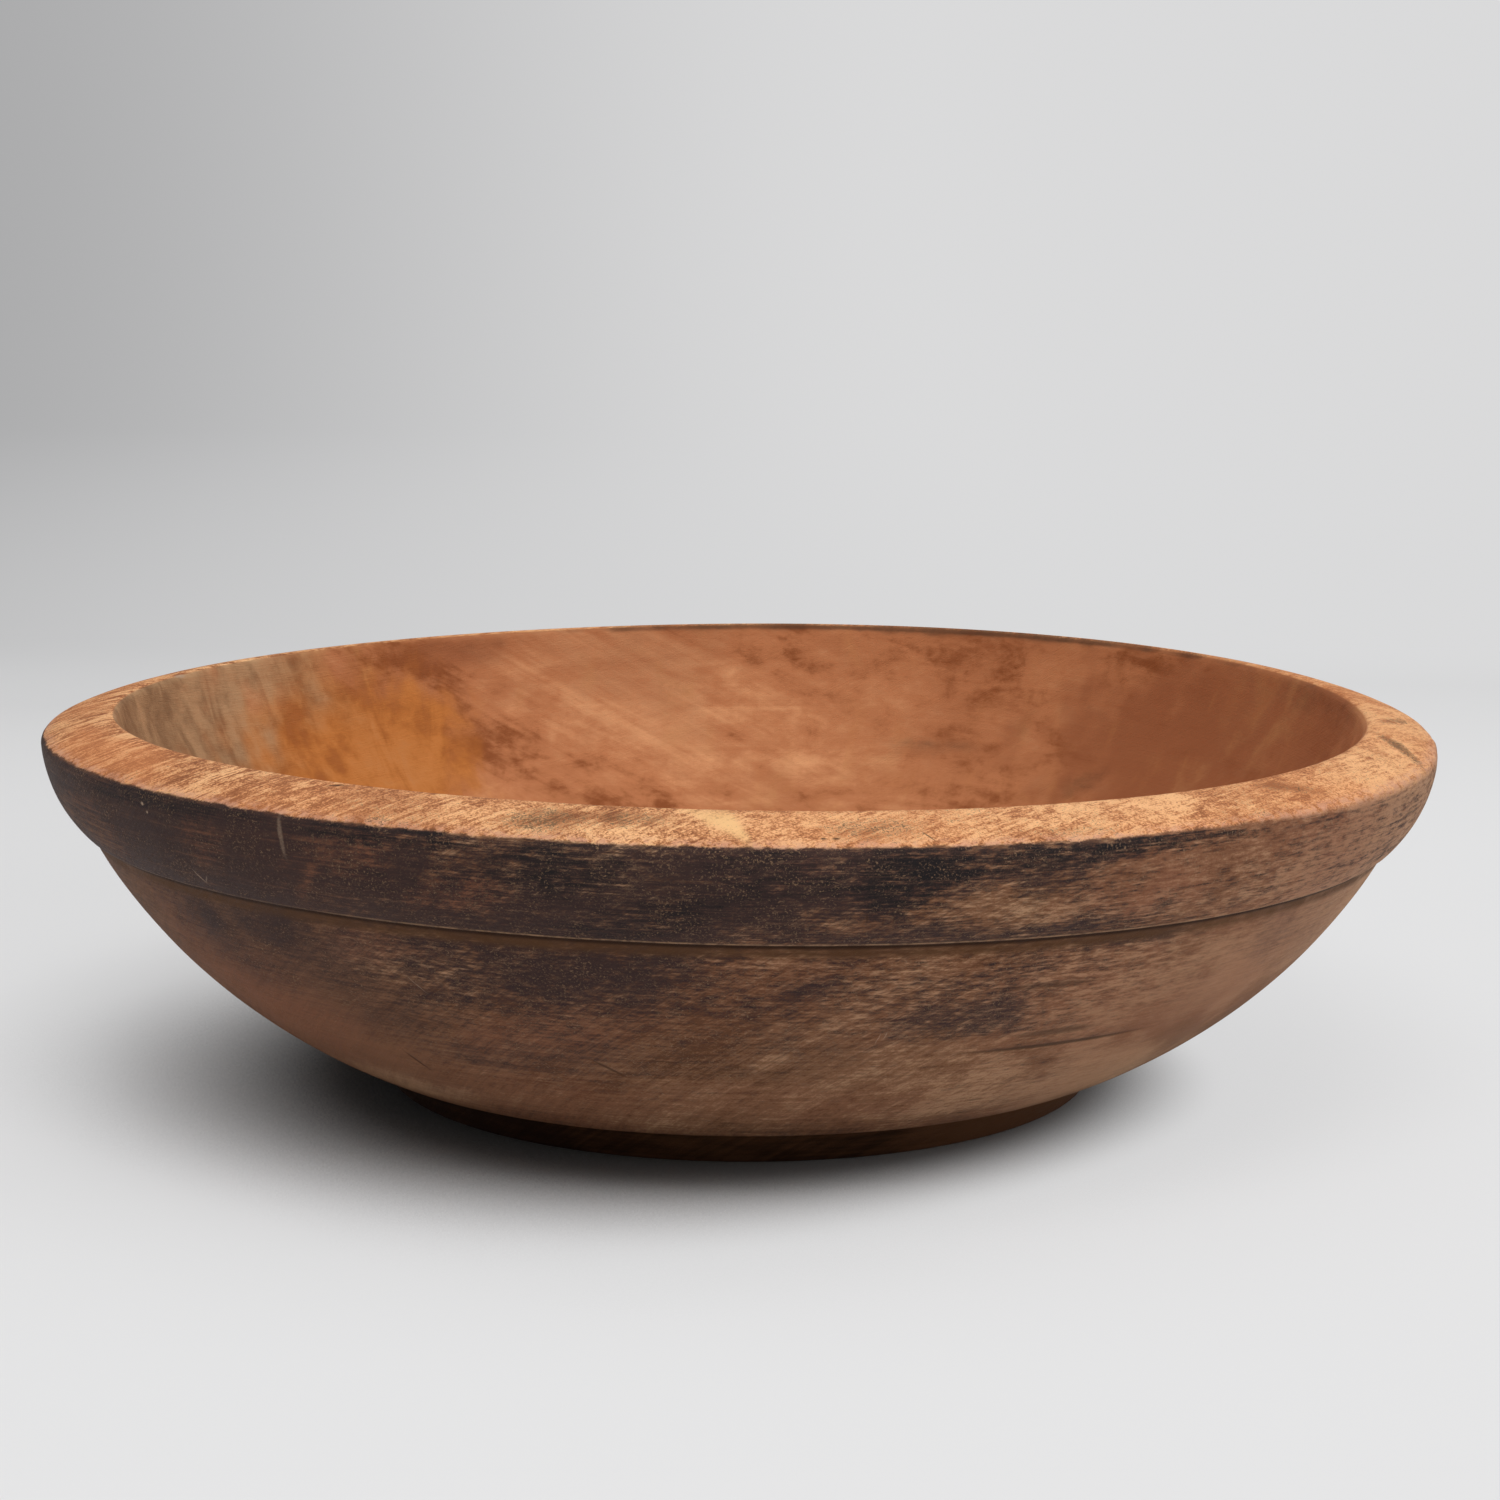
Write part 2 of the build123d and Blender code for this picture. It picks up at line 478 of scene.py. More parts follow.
RIM_STAINS = (
    Stain("dirt", -7.0, 4.55, 17, 8, 0, 0.58),
    Stain("dirt", -15.0, 4.40, 20, 8, 10, 0.50),
    Stain("dirt", 10.0, 4.40, 24, 8, 0, 0.44),
    Stain("dirt", -33.2, 4.80, 4, 1.6, 15, 0.95),
    Stain("dirt", 72.4, 4.47, 18, 5, 35, 0.75),
    Stain("dirt", 84.0, 4.62, 14, 3, -25, 0.55),
    Stain("dirt", 49.0, 4.50, 18, 6, -30, 0.40),
    Stain("dirt", 24.0, 4.20, 18, 4, 0, 0.28),
    Stain("pale", 8.0, 4.50, 54, 14, 0, 0.45),
    Stain("pale", -20.0, 4.55, 30, 9, 0, 0.55),
    Stain("pale", 30.0, 4.50, 40, 12, 0, 0.62),
    Stain("pale", 62.0, 4.50, 46, 14, 0, 0.45),
    Stain("pale", 84.0, 4.48, 90, 20, 0, 0.70),
    Stain("russet", -62.0, 4.40, 60, 14, 0, 0.80),
    Stain("russet", -95.0, 4.50, 60, 14, 0, 0.45),
    # These two darken a line along the back of the rim's inner edge.
    Stain("dirt", 158.0, 4.95, 190, 3, 0, 0.70),
    Stain("patina", 158.0, 4.97, 200, 2.2, 0, 0.75),
)

HOLLOW_STAINS = (
    Stain("ash", -84.0, 5.10, 130, 80, 0, 0.75),
    Stain("ash", -104.0, 5.06, 120, 36, 0, 0.40),
    Stain("ash", -122.0, 5.03, 80, 18, 0, 0.25),
    Stain("gold", -104.0, 5.20, 80, 56, 0, 0.45),
    Stain("gold", -131.0, 5.21, 68, 50, 0, 0.75),
    Stain("gold", -118.0, 5.28, 84, 46, 0, 0.55),
    Stain("gold", -140.0, 5.26, 34, 30, 0, 0.35),
    Stain("pale", -160.0, 5.10, 64, 20, 0, 0.85),
    Stain("pale", -164.0, 5.16, 80, 40, -20, 1.00),
    Stain("pale", -178.0, 5.24, 70, 30, -10, 0.65),
    Stain("pale", 160.0, 5.12, 50, 16, 0, 0.10),
    Stain("russet", 110.0, 5.12, 110, 80, 0, 0.85),
    Stain("russet", 130.0, 5.26, 64, 36, 0, 0.40),
    Stain("russet", 156.0, 5.27, 50, 20, 0, 0.15),
    Stain("russet", -146.0, 5.04, 34, 9, 0, 0.45),
    Stain("patina", 155.6, 5.28, 30, 5, 4, 0.42),
    Stain("patina", 133.6, 5.33, 14, 9, 30, 0.40),
    Stain("patina", 100.0, 5.03, 60, 8, 0, 0.30),
    Stain("patina", -146.0, 5.03, 46, 5, 0, 0.22),
)


def stain_cover(surface, stain, edge):
    """Cover of one stain over the vertices, 1 in its middle, with an edge that wanders."""
    turn = surface.azimuth - radians(stain.azimuth)
    turn = (turn + pi) % (2 * pi) - pi
    across = turn * surface.radius
    along = surface.reach - surface.reach_at(stain.station)
    along = along - across * np.tan(radians(stain.lean))
    gap = np.hypot(across / (stain.across * MM), along / (stain.along * MM))
    return 1.0 - ramp(gap + edge, 0.35, 1.25)


def tint_masks(surface):
    """Stores how strongly each tint lies on each vertex: over whole surfaces first, then in stains."""
    azimuth = np.degrees(surface.azimuth)
    station = surface.station
    broad = surface.wander(0.085, 5.0)
    patch = surface.wander(0.036, 12.0)
    outside = ramp(station, FOOT, FOOT + 0.2) * (1.0 - ramp(station, RIM, RIM + 0.10))
    band = ramp(station, COVE, BAND + 0.02) * outside
    # Patina and soot lie heavier away from the right: partly the wood's own skin, partly painted shade on
    # the side away from the light.
    skin_and_shade_side = 1.0 - ramp(azimuth, 16.0, 46.0) + ramp(azimuth, 95.0, 140.0)
    wall_height = ramp(station, WALL + 0.35, WALL + 0.95)
    wall_cover = 0.08 + 0.30 * wall_height * (0.45 + 0.55 * skin_and_shade_side)
    band_cover = 0.20 + 0.50 * skin_and_shade_side
    skin = wall_cover * (1.0 - band) + band_cover * band + 0.16 * broad + 0.14 * patch
    masks = {
        "patina": outside * skin,
        "soot": 0.10 * band * skin_and_shade_side * (1.0 + patch),
        "russet": 0.22 + 0.32 * broad + 0.30 * surface.wander(0.06, 17.0),
        "pale": 0.12 * surface.wander(0.07, 27.0),
        "gold": np.zeros_like(station),
        "ash": 0.16 * surface.wander(0.05, 31.0),
        "dirt": 0.22 + 0.3 * surface.wander(0.03, 37.0),
    }
    edge = 0.30 * surface.wander(0.016, 45.0) + 0.18 * surface.wander(0.007, 51.0)
    for stain in BAND_STAINS + WALL_STAINS + RIM_STAINS + HOLLOW_STAINS:
        masks[stain.tint] += stain.strength * stain_cover(surface, stain, edge)
    for name, values in masks.items():
        surface.store(name, values)


class Nodes:
    """Adds nodes to a material or world. A socket given as an input is linked, and a value is set."""

    def __init__(self, owner):
        owner.use_nodes = True
        self.tree = owner.node_tree
        self.tree.nodes.clear()

    def add(self, kind, inputs=None, **settings):
        """New node with its inputs fed and its settings made."""
        node = self.tree.nodes.new(kind)
        for name, value in settings.items():
            setattr(node, name, value)
        for name, value in (inputs or {}).items():
            self.feed(node.inputs[name], value)
        return node

    def feed(self, socket, value):
        """Links a socket to an input, or sets a value on it."""
        if isinstance(value, NodeSocket):
            self.tree.links.new(value, socket)
        elif socket.type == "RGBA":
            socket.default_value = (*value, 1.0)
        else:
            socket.default_value = value

    def math(self, operation, *values):
        """Result of one operation on values."""
        node = self.tree.nodes.new("ShaderNodeMath")
        node.operation = operation
        for socket, value in zip(node.inputs, values):
            self.feed(socket, value)
        return node.outputs[0]

    def add_up(self, start, *terms):
        """Start plus (pattern, weight) terms, each pattern taken about its middle of a half."""
        total = start
        for pattern, weight in terms:
            total = self.math("MULTIPLY_ADD", self.math("SUBTRACT", pattern, 0.5), weight, total)
        return total

    def span(self, value, low, high, to_low=0.0, to_high=1.0):
        """Smooth step of a value from to_low at low to to_high at high."""
        ends = {"Value": value, "From Min": low, "From Max": high, "To Min": to_low, "To Max": to_high}
        return self.add("ShaderNodeMapRange", ends, interpolation_type="SMOOTHSTEP").outputs["Result"]

    def between(self, value, low, high, soft):
        """1 between low and high, with soft ends."""
        rise = self.span(value, low - soft, low + soft)
        fall = self.span(value, high - soft, high + soft, 1.0, 0.0)
        return self.math("MULTIPLY", rise, fall)

    def mix(self, share, first, second):
        """Colour between two colours."""
        node = self.tree.nodes.new("ShaderNodeMix")
        node.data_type = "RGBA"
        for index, value in ((0, share), (6, first), (7, second)):
            self.feed(node.inputs[index], value)
        return node.outputs[2]

    def attribute(self, name):
        """Float attribute of the mesh."""
        return self.add("ShaderNodeAttribute", attribute_name=name).outputs["Fac"]

    def placed(self, where, centre, turn, size):
        """Coordinates moved to a centre, turned, and measured in sizes."""
        inputs = {"Vector": where, "Location": centre, "Rotation": turn, "Scale": size}
        return self.add("ShaderNodeMapping", inputs, vector_type="TEXTURE").outputs["Vector"]

    def grain(self, where, turn, size, detail=3.0, rough=0.55, bend=0.0):
        """Noise with features of the given sizes in mm along turned axes."""
        place = self.placed(where, (0.0, 0.0, 0.0), turn, tuple(s * MM for s in size))
        kind = {"Scale": 1.0, "Detail": detail, "Roughness": rough, "Distortion": bend}
        return self.add("ShaderNodeTexNoise", {"Vector": place, **kind}).outputs["Fac"]


# In the functions below, n adds nodes and f holds the patterns that wood_fields makes.


def layer_turn(normal):
    """Turn that lays growth layers square to a normal."""
    return tuple(Vector((0.0, 0.0, 1.0)).rotation_difference(Vector(normal)).to_euler())


OUTER_LAYERS = layer_turn((-0.53, 0.37, 1.0))
INNER_LAYERS = layer_turn((0.53, 0.37, 1.0))
NO_TURN = (0.0, 0.0, 0.0)
TINTS = ("patina", "soot", "russet", "pale", "gold", "ash", "dirt")

# The unrolled plane has millimetres round the rim as X and millimetres along the outline as Y.
RIM_MM_PER_DEGREE = 4.5


def wood_fields(n):
    """Patterns that the tones share: layers, fibres, lathe lines, clouds, specks, tints and sides."""
    place = n.add("ShaderNodeTexCoord").outputs["Object"]
    parts = n.add("ShaderNodeSeparateXYZ", {"Vector": place}).outputs
    flat = n.add("ShaderNodeCombineXYZ", {"X": parts["X"], "Y": parts["Y"]}).outputs["Vector"]
    ring = n.add("ShaderNodeVectorMath", {0: flat}, operation="NORMALIZE").outputs["Vector"]
    ring_parts = n.add("ShaderNodeSeparateXYZ", {"Vector": ring}).outputs
    station = n.attribute("station")
    reach = n.attribute("reach")
    turned_parts = {"X": ring_parts["X"], "Y": ring_parts["Y"], "Z": reach}
    turned = n.add("ShaderNodeCombineXYZ", turned_parts).outputs["Vector"]
    azimuth = n.math("ARCTAN2", parts["X"], n.math("MULTIPLY", parts["Y"], -1.0))
    azimuth = n.math("MULTIPLY", azimuth, 180.0 / pi)
    fields = {
        "station": station,
        "azimuth": azimuth,
        "left": n.between(azimuth, -150.0, -28.0, 14.0),
        "front": n.between(azimuth, -30.0, 36.0, 16.0),
        "right": n.between(azimuth, 30.0, 150.0, 16.0),
        "right_half": n.span(parts["X"], -0.06, 0.12),
        "layers": n.grain(place, OUTER_LAYERS, (150.0, 110.0, 13.0), 3.0, 0.6, 0.4),
        "streaks": n.grain(place, OUTER_LAYERS, (60.0, 44.0, 2.2), 4.0, 0.65, 0.3),
        "fibres": n.grain(place, OUTER_LAYERS, (12.0, 8.0, 0.55), 4.0, 0.7),
        "hatch": n.grain(place, OUTER_LAYERS, (16.0, 10.0, 1.3), 4.0, 0.65, 0.5),
        "inner_layers": n.grain(place, INNER_LAYERS, (110.0, 80.0, 15.0), 3.0, 0.6, 0.6),
        "inner_streaks": n.grain(place, INNER_LAYERS, (55.0, 40.0, 3.6), 4.0, 0.6, 0.4),
        "cloud": n.grain(place, NO_TURN, (40.0, 40.0, 40.0), 4.0, 0.55, 0.6),
        "blotch": n.grain(place, NO_TURN, (11.0, 11.0, 8.0), 5.0, 0.65, 0.4),
        "mottle": n.grain(place, NO_TURN, (3.6, 3.6, 2.4), 4.0, 0.65, 0.3),
        "speck": n.grain(place, NO_TURN, (0.85, 0.85, 0.7), 3.0, 0.7),
        "figure": n.grain(turned, NO_TURN, (80.0, 80.0, 50.0), 3.0, 0.5, 1.5),
        "smears": n.grain(turned, NO_TURN, (240.0, 240.0, 13.0), 4.0, 0.6, 0.8),
        "flecks": n.grain(turned, NO_TURN, (26.0, 26.0, 1.3), 3.0, 0.7, 0.2),
        "lathe": n.grain(turned, NO_TURN, (160.0, 160.0, 0.7), 3.0, 0.7),
        "lathe_broad": n.grain(turned, NO_TURN, (240.0, 240.0, 3.2), 4.0, 0.65, 0.3),
    }
    for tint in TINTS:
        fields[tint] = n.attribute(tint)
    wobble = n.math("MULTIPLY_ADD", fields["blotch"], 1.6, -0.8)
    round_mm = n.math("MULTIPLY_ADD", azimuth, RIM_MM_PER_DEGREE, wobble)
    along_mm = n.math("MULTIPLY", reach, 1.0 / MM)
    fields["unrolled"] = n.add("ShaderNodeCombineXYZ", {"X": round_mm, "Y": along_mm}).outputs["Vector"]
    return fields


class Mark(NamedTuple):
    """Small stroke: its middle as azimuth and station, length and width in mm, lean and strength."""

    azimuth: float
    station: float
    long: float
    wide: float
    lean: float
    strength: float


SCRATCHES = (
    Mark(-34.4, 3.82, 19.0, 2.4, 95, 0.30),
    Mark(-45.3, 3.20, 9.0, 1.0, 118, 0.50),
    Mark(-44.6, 3.18, 6.0, 0.8, 50, 0.40),
    Mark(-49.6, 3.87, 2.2, 1.6, 0, 0.90),
    Mark(-49.1, 3.80, 1.6, 1.2, 0, 0.80),
    Mark(12.0, 2.63, 7.0, 0.6, 78, 0.50),
    Mark(12.6, 2.64, 5.0, 0.6, 74, 0.45),
    Mark(-27.0, 2.75, 12.0, 0.6, -50, 0.35),
    Mark(-105.6, 4.955, 11.0, 2.6, -4, 0.80),
)

CRACKS = (
    Mark(6.0, 4.20, 2.4, 1.5, 0, 0.85),
    Mark(6.9, 4.20, 2.8, 1.6, 0, 0.85),
    Mark(13.6, 4.23, 8.0, 0.7, 118, 0.80),
    Mark(-32.8, 2.407, 16.0, 2.2, -63, 0.80),
    Mark(-11.6, 2.487, 20.0, 2.0, -37, 0.75),
    Mark(-4.6, 2.53, 34.0, 0.8, -3, 0.45),
    Mark(30.0, 2.545, 110.0, 3.0, 0, 0.85),
    Mark(29.2, 2.603, 48.0, 5.0, 0, 0.65),
    Mark(26.0, 2.79, 52.0, 4.0, 0, 0.55),
    Mark(-33.2, 4.80, 7.0, 1.2, 12, 0.80),
    Mark(9.2, 3.36, 5.0, 1.0, 92, 0.70),
    Mark(10.4, 3.32, 4.0, 0.8, 88, 0.60),
    Mark(11.2, 3.34, 3.5, 0.8, 90, 0.55),
)


def marks_cover(n, fields, marks, reach_at):
    """Cover of a set of strokes."""
    cover = None
    for mark in marks:
        centre = (mark.azimuth * RIM_MM_PER_DEGREE, reach_at(mark.station) / MM, 0.0)
        size = (mark.long / 2, mark.wide / 2, 1.0)
        place = n.placed(fields["unrolled"], centre, (0.0, 0.0, radians(mark.lean)), size)
        gap = n.add("ShaderNodeVectorMath", {0: place}, operation="LENGTH").outputs["Value"]
        stroke = n.span(gap, 0.35, 1.1, mark.strength, 0.0)
        cover = n.math("MAXIMUM", cover, stroke) if cover else stroke
    return cover


def outside_colour(n, finish, f):
    """Wall and band: umber wood under a dark patina, worn along the grain and the lathe lines."""
    stroke_weight = n.span(f["right"], 0.0, 1.0, n.span(f["left"], 0.0, 1.0, 0.85, 0.40), 0.14)
    wall_flecks = n.span(f["station"], WALL + 0.50, WALL + 0.85, 0.25, 0.75)
    wall_flecks = n.math("MULTIPLY", wall_flecks, n.span(f["front"], 0.0, 1.0, 0.6, 2.0))
    band_flecks = n.span(f["left"], 0.0, 1.0, 1.3, 0.4)
    fleck_weight = n.span(f["station"], COVE, BAND, wall_flecks, band_flecks)
    flecks = n.math("MULTIPLY", n.math("SUBTRACT", f["flecks"], 0.5), fleck_weight)
    wall_calm = n.span(f["front"], 0.0, 1.0, 0.3, 1.0)
    band_calm = n.span(f["left"], 0.0, 1.0, 1.0, 0.65)
    calm = n.span(f["station"], COVE, BAND, wall_calm, band_calm)

    strokes = n.add_up(0.0, (f["layers"], 0.50), (f["streaks"], 0.55), (f["fibres"], 0.80))
    clouds = n.add_up(
        0.0,
        (f["lathe_broad"], 0.50),
        (f["cloud"], 0.60),
        (f["blotch"], 0.30),
        (f["mottle"], 0.60),
        (f["speck"], 0.50),
    )
    tone = n.math("MULTIPLY_ADD", clouds, calm, 0.44)
    tone = n.math("MULTIPLY_ADD", strokes, stroke_weight, tone)
    tone = n.math("MULTIPLY_ADD", f["pale"], 0.42, tone)
    tone = n.math("ADD", tone, flecks)
    base = n.mix(n.span(tone, 0.20, 0.50), finish.umber_deep, finish.umber)
    base = n.mix(n.span(tone, 0.48, 0.90), base, finish.umber_light)
    base = n.mix(n.math("MULTIPLY", f["russet"], 0.75), base, finish.russet)

    line_weight = n.span(f["station"], COVE, BAND, 0.45, 1.1)
    lines = n.math("MULTIPLY", n.math("SUBTRACT", 0.5, f["lathe"]), line_weight)
    rubbed = n.add_up(0.0, (f["streaks"], -0.50), (f["fibres"], -0.60))
    worn = n.math("MULTIPLY_ADD", rubbed, stroke_weight, lines)
    spots = n.add_up(
        0.0,
        (f["blotch"], 0.80),
        (f["mottle"], 0.80),
        (f["lathe_broad"], -0.60),
        (f["speck"], 1.00),
    )
    spots = n.math("SUBTRACT", n.math("MULTIPLY", spots, calm), flecks)
    dark = n.math("ADD", n.math("ADD", f["patina"], worn), spots)
    base = n.mix(n.span(dark, 0.05, 0.82, 0.0, 0.95), base, finish.patina)
    black = n.math("ADD", n.math("ADD", f["soot"], lines), spots)
    base = n.mix(n.span(black, 0.10, 0.90, 0.0, 0.92), base, finish.soot)
    dusty = n.span(f["blotch"], 0.38, 0.64, 0.10, 0.70)
    bare = n.math("MULTIPLY", n.span(f["speck"], 0.53, 0.68), dusty)
    return n.mix(bare, base, finish.tan)


def lip_colour(n, finish, f, base):
    """Lip: painted shade in a darker brown strip below it and deeper in the corner, and a pale line along
    its edge that is partly rubbed wood and partly painted highlight.
    """
    # Painted shade under the lip: a darker brown strip over smoother wood.
    cove_shade = n.between(f["station"], COVE - 0.040, BAND - 0.010, 0.014)
    base = n.mix(n.math("MULTIPLY", cove_shade, n.span(f["blotch"], 0.3, 0.6, 0.55, 0.90)), base, finish.cove_shade)
    # Painted shade: the corner under the lip is darkened almost to black.
    corner = n.between(f["station"], COVE - 0.008, BAND - 0.010, 0.008)
    base = n.mix(n.math("MULTIPLY", corner, 0.85), base, finish.foot_and_corner_shade)
    # Pale line along the lip's edge: rubbed wood with a painted highlight, fainter at the left.
    edge = n.between(f["station"], BAND - 0.004, BAND + 0.026, 0.008)
    rubbed = n.math("MULTIPLY", edge, n.span(f["mottle"], 0.36, 0.60, 0.20, 0.90))
    rubbed = n.math("MULTIPLY", rubbed, n.span(f["left"], 0.0, 1.0, 1.0, 0.3))
    return n.mix(rubbed, base, finish.tan)


def rim_colour(n, finish, f):
    """Rim: rubbed to bright honey, mottled and hatched, with dirty pores and a wedge of sapwood."""
    hatch_weight = n.span(f["cloud"], 0.36, 0.62, 1.2, 3.2)
    hatch_weight = n.math("MULTIPLY", hatch_weight, n.span(f["left"], 0.0, 1.0, 0.6, 1.7))
    hatch = n.math("MULTIPLY", n.math("SUBTRACT", f["hatch"], 0.5), hatch_weight)
    tone = n.add_up(
        0.51,
        (f["layers"], 0.35),
        (f["streaks"], 0.30),
        (f["fibres"], 1.10),
        (f["cloud"], 1.10),
        (f["blotch"], 1.50),
        (f["mottle"], 1.40),
        (f["speck"], 2.80),
    )
    tone = n.math("ADD", tone, hatch)
    tone = n.math("MULTIPLY_ADD", f["pale"], 0.30, tone)
    base = n.mix(n.span(tone, 0.05, 0.50), finish.honey_deep, finish.honey)
    base = n.mix(n.span(tone, 0.46, 0.95), base, finish.honey_light)
    base = n.mix(n.math("MULTIPLY", f["russet"], 0.50), base, finish.amber)
    arris = n.span(f["station"], RIM + 0.04, RIM + 0.22, 0.8, 0.0)
    base = n.mix(n.math("MULTIPLY", arris, n.span(f["mottle"], 0.40, 0.62)), base, finish.blush)
    wedge = n.math("MULTIPLY", wedge_cover(n, f), n.span(tone, 0.0, 0.6, 0.5, 1.0))
    base = n.mix(wedge, base, finish.sapwood)
    dirt = n.add_up(f["dirt"], (f["speck"], 2.8), (f["mottle"], 1.0), (f["blotch"], 0.7))
    return n.mix(n.span(dirt, 0.50, 1.0, 0.0, 0.80), base, finish.grime)


def wedge_cover(n, f):
    """Pale wedge of the rim: its tip is on the outer edge, and it opens to the left across the rim."""
    depth = n.math("SUBTRACT", f["station"], RIM)
    side = n.math("MULTIPLY_ADD", f["blotch"], 1.2, n.math("SUBTRACT", f["azimuth"], 1.5))
    past_left = n.math("MULTIPLY_ADD", depth, 6.6, side)
    past_right = n.math("MULTIPLY_ADD", depth, 1.8, side)
    left = n.span(past_left, -0.5, 1.4)
    right = n.span(past_right, -0.25, 0.45, 1.0, 0.0)
    inner = n.span(depth, 0.55, 1.0, 0.9, 0.25)
    return n.math("MULTIPLY", n.math("MULTIPLY", left, right), inner)


def inside_colour(n, finish, f):
    """Hollow: oiled orange-brown and clouded, with slanting streaks, a golden part and a dry end."""
    slanting = n.add_up(0.0, (f["inner_layers"], 1.00), (f["inner_streaks"], 0.45))
    tone = n.add_up(
        0.44,
        (f["cloud"], 1.40),
        (f["smears"], 0.90),
        (f["blotch"], 0.90),
        (f["mottle"], 0.30),
    )
    tone = n.math("MULTIPLY_ADD", slanting, n.span(f["right_half"], 0.0, 1.0, 1.0, 0.2), tone)
    tone = n.math("MULTIPLY_ADD", f["pale"], 0.36, tone)
    base = n.mix(n.span(tone, 0.02, 0.52), finish.inside_deep, finish.inside)
    base = n.mix(n.span(tone, 0.44, 1.20), base, finish.inside_light)
    ruddy = n.add_up(f["russet"], (f["cloud"], 0.8), (f["blotch"], 0.6), (f["mottle"], 0.3))
    base = n.mix(n.span(ruddy, 0.0, 1.1, 0.0, 0.90), base, finish.inside_russet)
    flame = n.add_up(0.5, (f["figure"], 1.0), (f["cloud"], 0.9), (f["blotch"], 0.8))
    gilt = n.mix(n.span(flame, 0.25, 0.75), finish.gold_deep, finish.gold)
    golden = n.add_up(f["gold"], (f["cloud"], 1.1), (f["figure"], 1.0), (f["blotch"], 0.4))
    base = n.mix(n.span(golden, 0.0, 1.05), base, gilt)
    greyed = n.mix(n.span(flame, 0.20, 0.80), finish.ash_deep, finish.ash)
    dry = n.add_up(f["ash"], (f["cloud"], 0.9), (f["figure"], 0.6), (f["blotch"], 0.4))
    base = n.mix(n.span(dry, 0.0, 1.10), base, greyed)
    stained = n.add_up(f["patina"], (f["blotch"], 0.5), (f["mottle"], 0.3))
    return n.mix(n.span(stained, 0.05, 0.95, 0.0, 0.85), base, finish.grime)


def foot_colour(n, finish, f):
    """Foot: dark and streaked by the lathe, with painted shade at the left and painted light at the right.
    """
    tone = n.add_up(0.5, (f["lathe_broad"], 0.8), (f["streaks"], 0.6), (f["cloud"], 0.6))
    # Painted light and shade: the foot is lighter to the right and darker to the left.
    tone = n.math("MULTIPLY_ADD", f["right"], 0.5, tone)
    tone = n.math("MULTIPLY_ADD", f["left"], -0.3, tone)
    return n.mix(n.span(tone, 0.2, 0.9), finish.foot_and_corner_shade, finish.foot)


def wood_material(finish, reach_at):
    """Worn turned wood: one block, with its own tones on the foot, wall, band, rim and hollow."""
    material = bpy.data.materials.new("worn_turned_wood")
    n = Nodes(material)
    f = wood_fields(n)
    above_foot = n.span(f["station"], STEP, STEP + 0.25)
    base = n.mix(above_foot, foot_colour(n, finish, f), outside_colour(n, finish, f))
    base = lip_colour(n, finish, f, base)
    edge = n.add_up(f["station"], (f["blotch"], 0.12), (f["mottle"], 0.07), (f["speck"], 0.04))
    faded = n.between(f["azimuth"], 48.0, 120.0, 18.0)
    edge_start = n.math("MULTIPLY_ADD", faded, -0.16, RIM + 0.03)
    base = n.mix(n.span(edge, edge_start, RIM + 0.065), base, rim_colour(n, finish, f))
    base = n.mix(n.span(f["station"], FLANK - 0.07, FLANK - 0.04), base, inside_colour(n, finish, f))
    scratches = marks_cover(n, f, SCRATCHES, reach_at)
    broken = n.span(f["speck"], 0.3, 0.55, 0.4, 1.0)
    base = n.mix(n.math("MULTIPLY", scratches, broken), base, finish.chalk)
    cracks = marks_cover(n, f, CRACKS, reach_at)
    base = n.mix(cracks, base, finish.grime)

    rough = n.add_up(0.5, (f["fibres"], 0.5), (f["blotch"], 0.4), (f["patina"], -0.2))
    height = n.add_up(0.5, (f["fibres"], 0.6), (f["speck"], 0.4), (f["lathe"], 0.3), (f["streaks"], 0.4))
    on_rim = n.between(f["station"], RIM + 0.02, FLANK - 0.06, 0.05)
    height = n.math("MULTIPLY_ADD", n.math("MULTIPLY", f["hatch"], on_rim), 1.4, height)
    height = n.math("MULTIPLY_ADD", cracks, -0.5, height)
    bump = n.add("ShaderNodeBump", {"Height": height, "Strength": 0.7, "Distance": 0.6 * MM})
    shader = n.add(
        "ShaderNodeBsdfPrincipled",
        {
            "Base Color": base,
            "Roughness": n.span(rough, 0.2, 0.8, 0.50, 0.78),
            "Normal": bump.outputs["Normal"],
            "Specular IOR Level": 0.08,
            "Specular Tint": finish.gloss,
        },
    )
    n.add("ShaderNodeOutputMaterial", {"Surface": shader.outputs["BSDF"]})
    return material


class DOUGHBOWL_OT_bowl(Operator):
    """Turn the bowl from its outline, wear it and finish its wood"""

    bl_idname = "doughbowl.bowl"
    bl_label = "Turn Bowl"

    def execute(self, context):
        shape = context.scene.dough_bowl_shape
        mesh = turned_mesh(shape)
        surface = Surface(mesh)
        tint_masks(surface)
        wear_shape(surface, shape)
        bowl = bpy.data.objects.new("turned_bowl", mesh)
        context.scene.collection.objects.link(bowl)
        mesh.materials.append(wood_material(context.scene.dough_bowl_finish, surface.reach_at))
        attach(bowl, "root")
        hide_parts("bowl")
        return {"FINISHED"}


